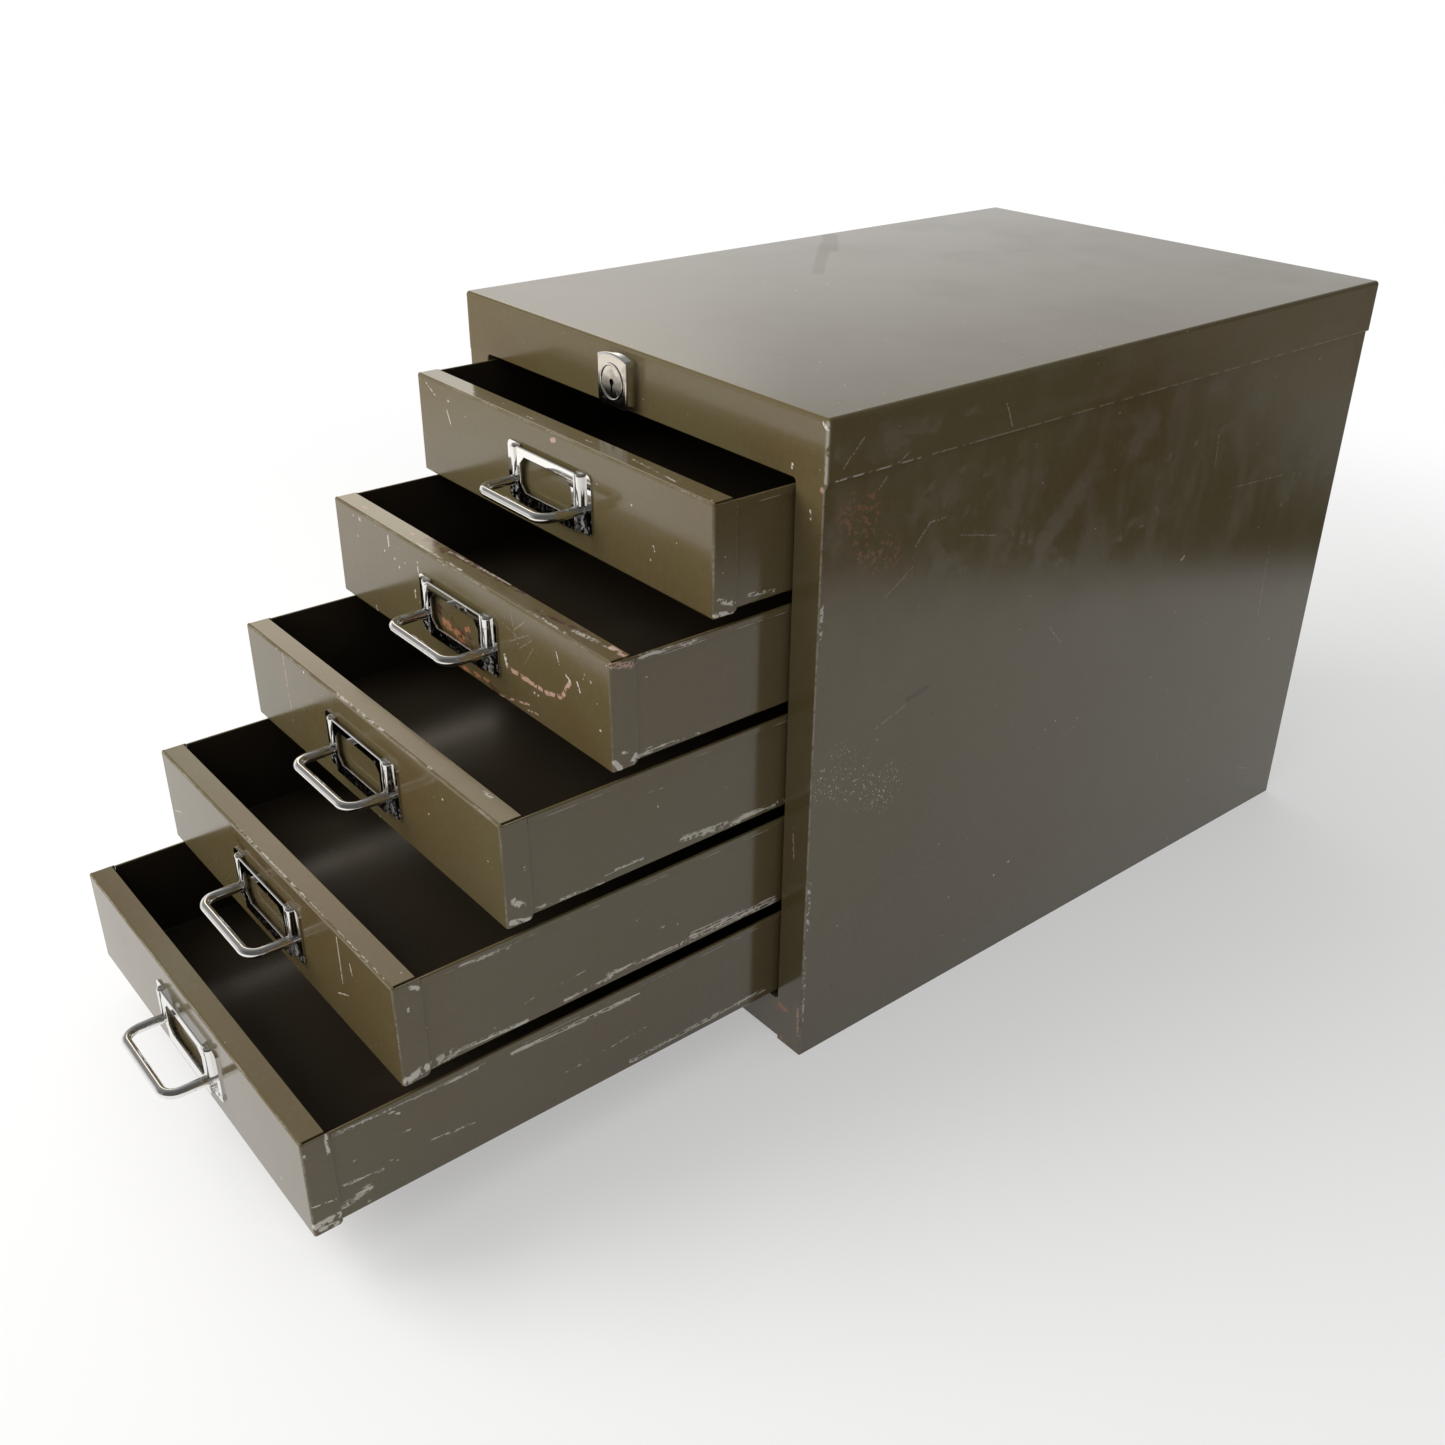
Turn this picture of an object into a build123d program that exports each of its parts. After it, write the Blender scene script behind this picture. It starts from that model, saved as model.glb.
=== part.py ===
from build123d import *
import math
import os

os.makedirs("parts", exist_ok=True)

# Small five-drawer steel cabinet, millimetres.
# +X is right seen from the front, +Y is towards the back, +Z is up.
# The origin is the centre of the carcass footprint, on the floor.
# The drawers are drawn staggered open, the top one least and the bottom one most.

# ---- carcass ----
cabinet_width = 280.0
cabinet_depth = 412.0
cabinet_height = 328.0
sheet = 0.9
shell_bend = 2.0
edge_bend = 1.0
fold_round = 0.8
skirt_height = 27.0
skirt_gap = 0.6
skirt_step_height = 3.0
fascia_height = 29.5
stile_width = 17.5
rail_top = 25.0
rail_bottom = 2.0
lip_depth = 12.0
opening_corner = 2.0
lip_edge_round = 0.7
flange_width = 14.0
floor_pan_height = 20.0
floor_pan_setback = 9.0
back_flange_depth = 12.0
flange_gap = 0.3

# ---- drawers ----
drawer_count = 5
open_at_rest = (42.5, 95.2, 150.1, 203.4, 249.5)
full_travel = 310.0
top_gap = 2.0
bottom_gap = 1.9
front_gap = 3.4
side_gap = 1.0
front_sheet = 0.9
front_bend = 1.3
front_flange_depth = 11.0
ear_depth = 12.6
ear_chamfer = 2.0
front_corner_gap = 0.7
tray_sheet = 0.7
tray_bend = 1.5
tray_lift = 1.3
tray_rear_space = 12.7
hem_height = 3.2
hem_gap = 0.2
hem_round = 0.6
stop_tab_reach = 4.5
stop_tab_height = 18.0
stop_tab_above_floor = 12.0
tray_front_drop = 2.0

# ---- runners ----
running_clearance = 0.3
ledge_width = 8.0
riser_height = 8.0
runner_flange_height = 12.0
kicker_gap = 4.4
rear_stop_height = 10.0

# ---- card frames and pulls ----
plate_width = 68.4
plate_height = 28.8
plate_drop = 1.0
plate_sheet = 0.8
plate_corner = 3.0
frame_width = 48.0
frame_rise = 2.8
frame_top_inset = 0.6
window_side = 2.8
window_height = 17.3
window_chamfer = 4.0
window_lift = 0.9
rib_radius = 2.6
rib_overlap = 0.1
rib_spacing = frame_width + 2 * (rib_radius - rib_overlap)
rib_rise = 3.5
rib_end_round = 1.2
frame_edge_round = 0.6
window_edge_round = 0.25
pull_wire = 4.8
pull_reach = 22.4
pull_bend = 7.0
pull_drop = 3.6
leg_gap = 0.2
spigot_diameter = 3.6
spigot_hole = 3.7
nut_across_flats = 6.0
nut_height = 2.4
spigot_end = 0.6

# ---- lock ----
lock_offset = -1.0
lock_width = 22.9
lock_side_height = 23.0
lock_arch_rise = 2.0
lock_rise = 5.8
lock_above_opening = 1.9
lock_lower_corner = 3.0
lock_edge_round = 1.0
plug_centre_up = 11.6
plug_head_diameter = 18.0
plug_head_proud = 0.5
plug_head_thickness = 2.0
plug_rim_width = 1.3
plug_rim_depth = 0.5
plug_rim_round = 0.35
running_fit = 0.05
barrel_diameter = 17.0
barrel_length = 22.0
barrel_hole_gap = 0.2
plug_diameter = 14.0
plug_tail_length = 8.0
plug_tail_diameter = 9.0
keyhole_diameter = 3.3
keyhole_drop = 5.8
keyhole_slot = 1.3
keyhole_depth = 14.0
lock_nut_diameter = 22.0
lock_nut_thickness = 4.0
rod_diameter = 5.0
rod_socket_depth = 6.0
press_gap = 0.02
bracket_sheet = 1.5
bracket_from_back = 54.0
bracket_width = 22.0
bracket_below_rod = 6.0
crank_throw = 10.0
crank_rest_angle = 45.0
crank_thickness = 2.0
crank_to_bar_gap = 2.5
crank_hub_diameter = 10.0
crank_pin_diameter = 4.0
crank_pin_gap = 0.5
bar_sheet = 1.5
bar_width = 18.0
bar_back_gap = 0.6
bar_edge = 2.5
bar_foot = 23.0
hook_width = 12.0
hook_to_plate_gap = 1.2
hook_to_lip_gap = 2.1
hook_overlap = 5.5
catch_sheet = 1.2
catch_width = 16.0
catch_base_height = 16.0
catch_above_tray = 14.0
catch_lip_height = 8.0
guide_sheet = 1.2
guide_height = 10.0
guide_above_tray = 3.0
guide_foot = 7.0

# ---- worked out from the above ----
front_y = -cabinet_depth / 2
back_y = cabinet_depth / 2
body_half = cabinet_width / 2 - sheet - skirt_gap
body_inner = body_half - sheet
body_back = back_y - sheet - skirt_gap
body_back_inner = body_back - sheet
under_top = cabinet_height - sheet
skirt_bottom = cabinet_height - skirt_height
opening_half = body_half - stile_width
opening_top = cabinet_height - fascia_height
lip_back = front_y + lip_depth
opening_height = opening_top - rail_top
drawer_pitch = (opening_height - top_gap - bottom_gap + front_gap) / drawer_count
front_height = drawer_pitch - front_gap
front_half = opening_half - side_gap
tray_half = front_half - front_sheet
tray_rear = body_back_inner - tray_rear_space
tray_height = front_height - front_sheet - tray_lift
tray_front_offset = front_sheet
ledge_inner = opening_half - ledge_width
runner_front = lip_back + flange_gap
runner_rear = body_back_inner - back_flange_depth
stop_tab_y = lip_back + full_travel + flange_gap
plug_x = lock_offset
plug_z = opening_top + lock_above_opening + plug_centre_up
bar_back = body_back_inner - sheet - bar_back_gap
bar_front = bar_back - bar_sheet
crank_front = bar_front - crank_to_bar_gap - crank_thickness
pin_rest_angle = math.radians(crank_rest_angle)
pin_x = crank_throw * math.cos(pin_rest_angle)
pin_up = crank_throw * math.sin(pin_rest_angle)
bar_travel = 2 * pin_up
pin_z = plug_z + pin_up


def front_top(index):
    """Height of the top edge of a drawer front, the top drawer being 0."""
    return opening_top - top_gap - index * drawer_pitch


def tray_bottom(index):
    """Height of the underside of a drawer tray."""
    return front_top(index) - front_height + tray_lift


def block(x0, x1, y0, y1, z0, z1):
    """Box between two corners."""
    return Pos((x0 + x1) / 2, (y0 + y1) / 2, (z0 + z1) / 2) * Box(x1 - x0, y1 - y0, z1 - z0)


def rod_along_y(x, z, radius, y0, y1):
    """Round bar whose axis lies along Y."""
    return Pos(x, (y0 + y1) / 2, z) * Rot(90, 0, 0) * Cylinder(radius, y1 - y0)


def folded_pan(x0, x1, y0, y1, z0, z1, thickness, bend):
    """Sheet pan, open at the top, with rounded folds and corners."""
    outer = block(x0, x1, y0, y1, z0, z1)
    outer_edges = outer.edges().filter_by(Axis.Z) + outer.faces().sort_by(Axis.Z)[0].edges()
    outer = fillet(outer_edges, bend)
    inner = block(x0 + thickness, x1 - thickness, y0 + thickness, y1 - thickness, z0 + thickness, z1 + bend)
    inner_edges = inner.edges().filter_by(Axis.Z) + inner.faces().sort_by(Axis.Z)[0].edges()
    inner_bend = bend - thickness
    if inner_bend > 0.05:
        inner = fillet(inner_edges, inner_bend)
    return outer - inner


def extrude_xz(points, y0, y1):
    """Prism with a polygon in X and Z, running along Y."""
    outline = make_face(Polyline(*[(x, 0, z) for x, z in points], close=True))
    return Pos(0, y0, 0) * extrude(outline, amount=y1 - y0, dir=(0, 1, 0))


def export(node, shape):
    """Writes one node's STEP file."""
    shape.label = node
    export_step(shape, "parts/" + node + ".step")


# ---- carcass pieces ----
def top_and_front_shell():
    """Top, skirts, fascia, stiles and bottom rail pressed from one sheet."""
    half = cabinet_width / 2
    shell = Rot(180, 0, 0) * folded_pan(
        -half, half, -back_y, -front_y, -cabinet_height, 0, sheet, shell_bend)
    behind_front = front_y + sheet
    step_bottom = skirt_bottom - skirt_step_height
    shell -= block(-half - 1, half + 1, behind_front, back_y + 1, -1, skirt_bottom)
    shell -= block(-half - 1, half + 1, front_y - 1, behind_front + shell_bend, -1, step_bottom)
    for side in (-1, 1):
        step = [
            (side * body_half, step_bottom),
            (side * (half + 1), step_bottom),
            (side * (half + 1), skirt_bottom),
            (side * half, skirt_bottom),
        ]
        shell -= extrude_xz(step, front_y - 1, behind_front + shell_bend)
    front = block(-body_half, body_half, front_y, behind_front, 0, skirt_bottom)
    front = fillet(front.edges().filter_by(Axis.Z).group_by(Axis.Y)[0], lip_edge_round)
    shell += front
    opening_middle = (opening_top + rail_top) / 2
    face_plane = Plane(origin=(0, front_y, opening_middle), x_dir=(1, 0, 0), z_dir=(0, -1, 0))
    lip_outline = RectangleRounded(
        2 * (opening_half + sheet), opening_height + 2 * sheet, opening_corner + sheet)
    hole_outline = RectangleRounded(2 * opening_half, opening_height, opening_corner)
    lip = extrude(face_plane * lip_outline, amount=-lip_depth)
    hole = extrude(face_plane * hole_outline, amount=-(lip_depth + 1))
    hole += extrude(face_plane * hole_outline, amount=1)
    shell = shell + lip - hole
    shell -= block(
        -opening_half - sheet, opening_half + sheet, front_y - 1, behind_front + 1, -1, rail_bottom)
    near_face = shell.edges().filter_by_position(Axis.Y, front_y - 0.01, front_y + 0.01)
    opening_edges = [
        edge for edge in near_face
        if abs(edge.center().X) <= opening_half + 0.01
        and rail_top - 0.01 <= edge.center().Z <= opening_top + 0.01
    ]
    shell = fillet(opening_edges, lip_edge_round)
    shell -= rod_along_y(plug_x, plug_z, barrel_diameter / 2 + barrel_hole_gap, front_y - 1, behind_front + 1)
    return shell


def side_panel(side):
    """Flat side with a flange behind the stile and one under the top."""
    wall_front = front_y + sheet
    outline = [
        (wall_front, 0),
        (wall_front, under_top - shell_bend),
        (wall_front + shell_bend, under_top),
        (body_back - shell_bend, under_top),
        (body_back, under_top - shell_bend),
        (body_back, 0),
    ]
    face = make_face(Polyline(*[(body_inner, y, z) for y, z in outline], close=True))
    wall = extrude(face, amount=sheet, dir=(1, 0, 0))
    wall -= extrude_xz(
        [
            (body_half - fold_round, under_top),
            (body_half, under_top - fold_round),
            (body_half + 1, under_top + 1),
        ],
        front_y, back_y)
    skirt_corner = [
        (body_half - fold_round, wall_front),
        (body_half, wall_front + fold_round),
        (body_half + 1, wall_front - 1),
    ]
    corner = make_face(Polyline(*[(x, y, skirt_bottom) for x, y in skirt_corner], close=True))
    wall -= extrude(corner, amount=skirt_height, dir=(0, 0, 1))
    front_flange_inner = opening_half + 1.5 * sheet
    flange_top = under_top - shell_bend
    flange = block(front_flange_inner, body_inner, wall_front, wall_front + sheet, rail_bottom, flange_top)
    top_flange = block(
        body_half - flange_width, body_inner, wall_front + 2 * sheet, runner_rear - flange_gap,
        under_top - sheet, under_top)
    panel = wall + flange + top_flange
    return panel if side > 0 else mirror(panel, about=Plane.YZ)


def floor_pan():
    """Bottom of the carcass, standing on the floor inside the sides."""
    return folded_pan(
        -body_inner, body_inner, front_y + floor_pan_setback, body_back_inner, 0, floor_pan_height,
        sheet, edge_bend)


def back_panel():
    """Back sheet between the sides, with flanges folded forward."""
    sheet_up = block(-body_inner, body_inner, body_back_inner, body_back, 0, under_top)
    fold = sheet_up.edges().filter_by(Axis.X).group_by(Axis.Z)[-1].sort_by(Axis.Y)[-1]
    sheet_up = fillet(fold, fold_round)
    top_flange = block(
        -body_inner + flange_width, body_inner - flange_width, body_back_inner - back_flange_depth,
        body_back_inner, under_top - sheet, under_top)
    panel = sheet_up + top_flange
    for side in (-1, 1):
        inner = side * (body_inner - sheet)
        outer = side * body_inner
        panel += block(
            min(inner, outer), max(inner, outer), body_back_inner - back_flange_depth + flange_gap,
            body_back_inner, floor_pan_height + flange_gap, under_top - sheet - flange_gap)
    return panel


def runner(index, side):
    """Rolled channel that carries one side of a drawer, with a turned-up stop at its rear."""
    ledge = tray_bottom(index) - running_clearance
    shelf = ledge + riser_height
    section = [
        (ledge_inner, ledge - sheet),
        (opening_half + sheet, ledge - sheet),
        (opening_half + sheet, shelf - sheet),
        (body_inner, shelf - sheet),
        (body_inner, shelf + runner_flange_height),
        (body_inner - sheet, shelf + runner_flange_height),
        (body_inner - sheet, shelf),
        (opening_half, shelf),
        (opening_half, ledge),
        (ledge_inner, ledge),
    ]
    channel = extrude_xz(section, runner_front, runner_rear)
    stop_front = tray_rear + running_clearance
    channel += block(
        ledge_inner, opening_half, stop_front, stop_front + sheet, ledge - sheet, ledge + rear_stop_height)
    return channel if side > 0 else mirror(channel, about=Plane.YZ)


def kicker(side):
    """Angle over the top drawer that stops it from tipping when it is open."""
    underside = front_top(0) - front_sheet + kicker_gap
    section = [
        (ledge_inner, underside),
        (body_inner, underside),
        (body_inner, underside + runner_flange_height),
        (body_inner - sheet, underside + runner_flange_height),
        (body_inner - sheet, underside + sheet),
        (ledge_inner, underside + sheet),
    ]
    angle = extrude_xz(section, runner_front, runner_rear)
    return angle if side > 0 else mirror(angle, about=Plane.YZ)


# ---- drawer pieces ----
def drawer_front(index):
    """Shallow folded pan: face, top and bottom flanges, and an ear on each side."""
    face = front_y - open_at_rest[index]
    top = front_top(index)
    bottom = top - front_height
    pan = Rot(90, 0, 0) * folded_pan(
        -front_half, front_half, bottom, top, 0, ear_depth, front_sheet, front_bend)
    pan = Pos(0, face, 0) * mirror(pan, about=Plane.XZ)
    flange_end = face + front_flange_depth
    ear_end = face + ear_depth
    inner = front_half - front_sheet
    pan -= block(-inner, inner, flange_end, ear_end + 1, bottom - 1, top + 1)
    for side in (-1, 1):
        slot = sorted((side * inner, side * (inner - front_corner_gap)))
        pan -= block(slot[0], slot[1], face + front_bend, ear_end + 1, bottom - 1, top + 1)
        over_flange = sorted((side * inner, side * (front_half + 1)))
        pan -= block(
            over_flange[0], over_flange[1], face + front_bend, ear_end + 1,
            top - front_corner_gap, top + 1)
        outer = side * (front_half + 1)
        corner = [
            (ear_end - ear_chamfer, bottom),
            (ear_end, bottom + ear_chamfer),
            (ear_end + 1, bottom - 1),
        ]
        outline = make_face(Polyline(*[(outer, y, z) for y, z in corner], close=True))
        pan -= extrude(outline, amount=3 * front_sheet, dir=(-side, 0, 0))
    return pan - spigot_holes(index, face - 1, face + 2 * front_sheet)


def pull_height(index):
    """Height of the centre line of a pull."""
    return front_top(index) - front_height / 2 - plate_drop - pull_drop


def spigot_holes(index, y0, y1):
    """The two holes for the ends of a pull."""
    holes = None
    for side in (-1, 1):
        hole = rod_along_y(side * rib_spacing / 2, pull_height(index), spigot_hole / 2, y0, y1)
        holes = hole if holes is None else holes + hole
    return holes


def drawer_tray(index):
    """Open tray, with hemmed sides, a lug bent out of each side and a plain back."""
    face = front_y - open_at_rest[index]
    shift = -open_at_rest[index]
    bottom = tray_bottom(index)
    top = bottom + tray_height
    front = face + tray_front_offset
    rear = tray_rear + shift
    tray = folded_pan(-tray_half, tray_half, front, rear, bottom, top, tray_sheet, tray_bend)
    hem_front = face + ear_depth + hem_gap
    tray -= block(
        -tray_half - 1, tray_half + 1, front - 1, hem_front, top - tray_front_drop, top + 1)
    for side in (-1, 1):
        inner = side * (tray_half - tray_sheet)
        wall_top = sorted((inner, side * (tray_half + 1)))
        tray -= block(wall_top[0], wall_top[1], hem_front, rear - tray_bend, top - hem_height / 2, top + 1)
        hem = block(
            min(inner, side * front_half), max(inner, side * front_half), hem_front, rear - tray_bend,
            top - hem_height, top)
        hem = fillet(hem.edges().filter_by(Axis.Y).group_by(Axis.Z)[-1], hem_round)
        tray += hem
        tab = sorted((side * (tray_half - tray_sheet / 2), side * (tray_half + stop_tab_reach)))
        tab_bottom = bottom + stop_tab_above_floor
        tab_front = stop_tab_y + shift
        tray += block(
            tab[0], tab[1], tab_front, tab_front + tray_sheet, tab_bottom, tab_bottom + stop_tab_height)
    return tray - spigot_holes(index, front - 1, front + 2 * tray_sheet)


def card_frame(index):
    """Pressed plate with a raised window frame for a card and a rib at each side."""
    face = front_y - open_at_rest[index]
    middle = front_top(index) - front_height / 2 - plate_drop
    plate_top = middle + plate_height / 2
    plate_bottom = middle - plate_height / 2
    leg_z = pull_height(index)
    outline = Plane(origin=(0, face, middle), x_dir=(1, 0, 0), z_dir=(0, -1, 0))
    base = extrude(outline * RectangleRounded(plate_width, plate_height, plate_corner), amount=plate_sheet)
    frame_half = frame_width / 2
    base -= block(
        -frame_half + plate_sheet, frame_half - plate_sheet, face - frame_rise, face + 1,
        plate_bottom + plate_sheet, plate_top + 1)
    frame_top = plate_top - frame_top_inset
    raised = block(-frame_half, frame_half, face - frame_rise, face, plate_bottom, frame_top)
    raised = fillet(raised.faces().sort_by(Axis.Y)[0].edges(), frame_edge_round)
    raised -= block(
        -frame_half + plate_sheet, frame_half - plate_sheet, face - frame_rise + plate_sheet, face + 1,
        plate_bottom + plate_sheet, plate_top + 1)
    half_w = frame_width / 2 - window_side
    half_h = window_height / 2
    window_z = middle + window_lift
    cut = window_chamfer
    corners = [
        (-half_w + cut, window_z - half_h),
        (half_w - cut, window_z - half_h),
        (half_w, window_z - half_h + cut),
        (half_w, window_z + half_h - cut),
        (half_w - cut, window_z + half_h),
        (-half_w + cut, window_z + half_h),
        (-half_w, window_z + half_h - cut),
        (-half_w, window_z - half_h + cut),
    ]
    raised -= extrude_xz(corners, face - frame_rise - 1, face - plate_sheet)
    rim = raised.faces().sort_by(Axis.Y)[0].inner_wires()[0].edges()
    raised = fillet(rim, window_edge_round)
    frame = base + raised
    rib_foot = leg_z + pull_wire / 2 + leg_gap
    for side in (-1, 1):
        x = side * rib_spacing / 2
        rib_axis = face - rib_rise + rib_radius
        rib = Pos(x, rib_axis, (rib_foot + frame_top) / 2) * Cylinder(rib_radius, frame_top - rib_foot)
        rib = fillet(rib.faces().sort_by(Axis.Z)[-1].edges(), rib_end_round)
        rib_side = rib_radius - rib_end_round
        rib += block(x - rib_side, x + rib_side, rib_axis, face, rib_foot, frame_top)
        rib += block(x - rib_radius, x + rib_radius, rib_axis, face, rib_foot, frame_top - rib_end_round)
        rib -= block(
            x - 2 * rib_radius, x + 2 * rib_radius, face, face + 2 * rib_radius, plate_bottom, plate_top)
        frame += rib
        room = rod_along_y(x, leg_z, pull_wire / 2 + leg_gap, face - rib_rise - 1, face - plate_sheet)
        frame -= room
    return frame - spigot_holes(index, face - 2 * plate_sheet, face + 1)


def pull(index):
    """Round wire bent to a shallow U, with a spigot turned on each end."""
    face = front_y - open_at_rest[index]
    z = pull_height(index)
    half = rib_spacing / 2
    seat = face - plate_sheet
    reach = face - pull_reach
    path = FilletPolyline(
        (-half, seat, z), (-half, reach, z), (half, reach, z), (half, seat, z), radius=pull_bend)
    start = Plane(origin=(-half, seat, z), z_dir=(0, -1, 0))
    wire = sweep(start * Circle(pull_wire / 2), path=path)
    spigot_tip = face + tray_front_offset + tray_sheet + nut_height + spigot_end
    for side in (-1, 1):
        wire += rod_along_y(side * half, z, spigot_diameter / 2, seat - 1, spigot_tip)
    return wire


def pull_nuts(index):
    """The two nuts that hold a pull, inside the drawer."""
    face = front_y - open_at_rest[index]
    seat = face + tray_front_offset + tray_sheet
    nuts = []
    for side in (-1, 1):
        plane = Plane(
            origin=(side * rib_spacing / 2, seat, pull_height(index)), x_dir=(1, 0, 0), z_dir=(0, 1, 0))
        outline = RegularPolygon(nut_across_flats / 2, 6, major_radius=False) - Circle(spigot_hole / 2)
        nuts.append(extrude(plane * outline, amount=nut_height))
    return Compound(nuts)


def catch(index):
    """Angle on the back of a drawer that the locking bar's hook drops in front of."""
    shift = -open_at_rest[index]
    base_bottom = tray_bottom(index) + catch_above_tray
    left = plug_x - catch_width / 2
    right = plug_x + catch_width / 2
    back = tray_rear + shift
    lip_front = back + catch_sheet + hook_to_plate_gap + bar_sheet + hook_to_lip_gap
    piece = block(left, right, back, back + catch_sheet, base_bottom, base_bottom + catch_base_height)
    piece += block(left, right, back, lip_front + catch_sheet, base_bottom, base_bottom + catch_sheet)
    piece += block(
        left, right, lip_front, lip_front + catch_sheet, base_bottom, base_bottom + catch_lip_height)
    return piece


# ---- lock pieces ----
def lock_body():
    """Escutcheon with an arched top, and the barrel behind it."""
    right = plug_x + lock_width / 2
    left = plug_x - lock_width / 2
    bottom = opening_top + lock_above_opening
    shoulder = bottom + lock_side_height
    front = front_y - lock_rise
    sides = Polyline(
        (right, front, shoulder), (right, front, bottom), (left, front, bottom), (left, front, shoulder))
    arch = ThreePointArc(
        (left, front, shoulder), (plug_x, front, shoulder + lock_arch_rise), (right, front, shoulder))
    head = extrude(make_face(sides + arch), amount=lock_rise, dir=(0, 1, 0))
    corners = head.edges().filter_by(Axis.Y).group_by(Axis.Z)
    head = fillet(corners[0], lock_lower_corner)
    head = fillet(head.edges().filter_by(Axis.Y).group_by(Axis.Z)[-1], lock_edge_round)
    head = fillet(head.faces().sort_by(Axis.Y)[0].edges(), lock_edge_round)
    body = head + rod_along_y(plug_x, plug_z, barrel_diameter / 2, front_y - 1, front_y + barrel_length)
    recess_back = front - plug_head_proud + plug_head_thickness + running_fit
    body -= rod_along_y(plug_x, plug_z, plug_head_diameter / 2 + running_fit, front - 1, recess_back)
    body -= rod_along_y(plug_x, plug_z, plug_diameter / 2 + running_fit, front, front_y + barrel_length + 1)
    return body


def lock_nut():
    """Round nut behind the fascia."""
    back = front_y + sheet
    nut = rod_along_y(plug_x, plug_z, lock_nut_diameter / 2, back, back + lock_nut_thickness)
    return nut - rod_along_y(
        plug_x, plug_z, barrel_diameter / 2 + running_fit, back - 1, back + lock_nut_thickness + 1)


def lock_plug():
    """Turning core with the keyhole, and a tail with a socket for the rod."""
    front = front_y - lock_rise - plug_head_proud
    head_back = front + plug_head_thickness
    barrel_end = front_y + barrel_length
    tail_end = barrel_end + plug_tail_length
    plug = rod_along_y(plug_x, plug_z, plug_head_diameter / 2, front, head_back)
    plug -= rod_along_y(
        plug_x, plug_z, plug_head_diameter / 2 - plug_rim_width, front - 1, front + plug_rim_depth)
    plug = fillet(plug.faces().sort_by(Axis.Y)[0].edges(), plug_rim_round)
    plug += rod_along_y(plug_x, plug_z, plug_diameter / 2, head_back - running_fit, barrel_end)
    plug += rod_along_y(plug_x, plug_z, plug_tail_diameter / 2, barrel_end - 1, tail_end)
    plug -= rod_along_y(
        plug_x, plug_z, rod_diameter / 2 + press_gap, tail_end - rod_socket_depth, tail_end + 1)
    hole = rod_along_y(plug_x, plug_z, keyhole_diameter / 2, front - 1, front + keyhole_depth)
    slot = block(
        plug_x - keyhole_slot / 2, plug_x + keyhole_slot / 2, front - 1, front + keyhole_depth,
        plug_z - keyhole_drop, plug_z)
    return plug - hole - slot


def lock_rod():
    """Long rod from the plug to the crank at the back."""
    rod_front = front_y + barrel_length + plug_tail_length - rod_socket_depth + press_gap
    return rod_along_y(plug_x, plug_z, rod_diameter / 2, rod_front, crank_front + crank_thickness)


def lock_crank():
    """Arm on the rod's rear end, with the pin that drives the bar."""
    arm_back = crank_front + crank_thickness
    tip_x = plug_x + pin_x
    crank = rod_along_y(plug_x, plug_z, crank_hub_diameter / 2, crank_front, arm_back)
    crank += rod_along_y(tip_x, pin_z, crank_pin_diameter, crank_front, arm_back)
    web = Pos((plug_x + tip_x) / 2, (crank_front + arm_back) / 2, (plug_z + pin_z) / 2)
    crank += web * Rot(0, -crank_rest_angle, 0) * Box(crank_throw, crank_thickness, 2 * crank_pin_diameter)
    crank += rod_along_y(tip_x, pin_z, crank_pin_diameter / 2, crank_front, bar_back + bar_back_gap / 2)
    return crank - rod_along_y(
        plug_x, plug_z, rod_diameter / 2 + press_gap, crank_front - 1, arm_back + 1)


def rod_bracket():
    """Angle under the top that carries the rear end of the rod."""
    y = body_back_inner - bracket_from_back
    left = plug_x - bracket_width / 2
    right = plug_x + bracket_width / 2
    bracket = block(left, right, y, y + bracket_sheet, plug_z - bracket_below_rod, under_top)
    bracket += block(left, right, y, y + bracket_width, under_top - bracket_sheet, under_top)
    return bracket - rod_along_y(
        plug_x, plug_z, rod_diameter / 2 + running_fit, y - 1, y + bracket_sheet + 1)


def hook_bottom(index):
    """Height of the tip of a bar hook, with the lock open."""
    lip_top = tray_bottom(index) + catch_above_tray + catch_lip_height
    return lip_top - hook_overlap + bar_travel


def locking_bar():
    """Upright strip with a slotted head for the crank pin and a hook for each drawer."""
    left = plug_x - bar_width / 2
    right = plug_x + bar_width / 2
    slot_reach = crank_pin_diameter / 2 + crank_pin_gap
    slot_end = plug_x + crank_throw + slot_reach
    head_top = pin_z + slot_reach + bar_edge
    bar = block(left, right, bar_front, bar_back, bar_foot, head_top)
    bar += block(
        left, slot_end + bar_edge, bar_front, bar_back, pin_z - slot_reach - 2 * bar_edge, head_top)
    bar -= block(
        plug_x + pin_x - slot_reach, slot_end, bar_front - 1, bar_back + 1,
        pin_z - slot_reach, pin_z + slot_reach)
    hook_left = plug_x - hook_width / 2
    hook_right = plug_x + hook_width / 2
    tip_front = tray_rear + catch_sheet + hook_to_plate_gap
    arm_up = hook_overlap + bar_sheet
    for index in range(drawer_count):
        tip = hook_bottom(index)
        arm_bottom = tip + arm_up
        arm_top = arm_bottom + bar_sheet
        bar += block(hook_left, hook_right, tip_front, bar_front, arm_bottom, arm_top)
        bar += block(hook_left, hook_right, tip_front, tip_front + bar_sheet, tip, arm_top)
    return bar


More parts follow.
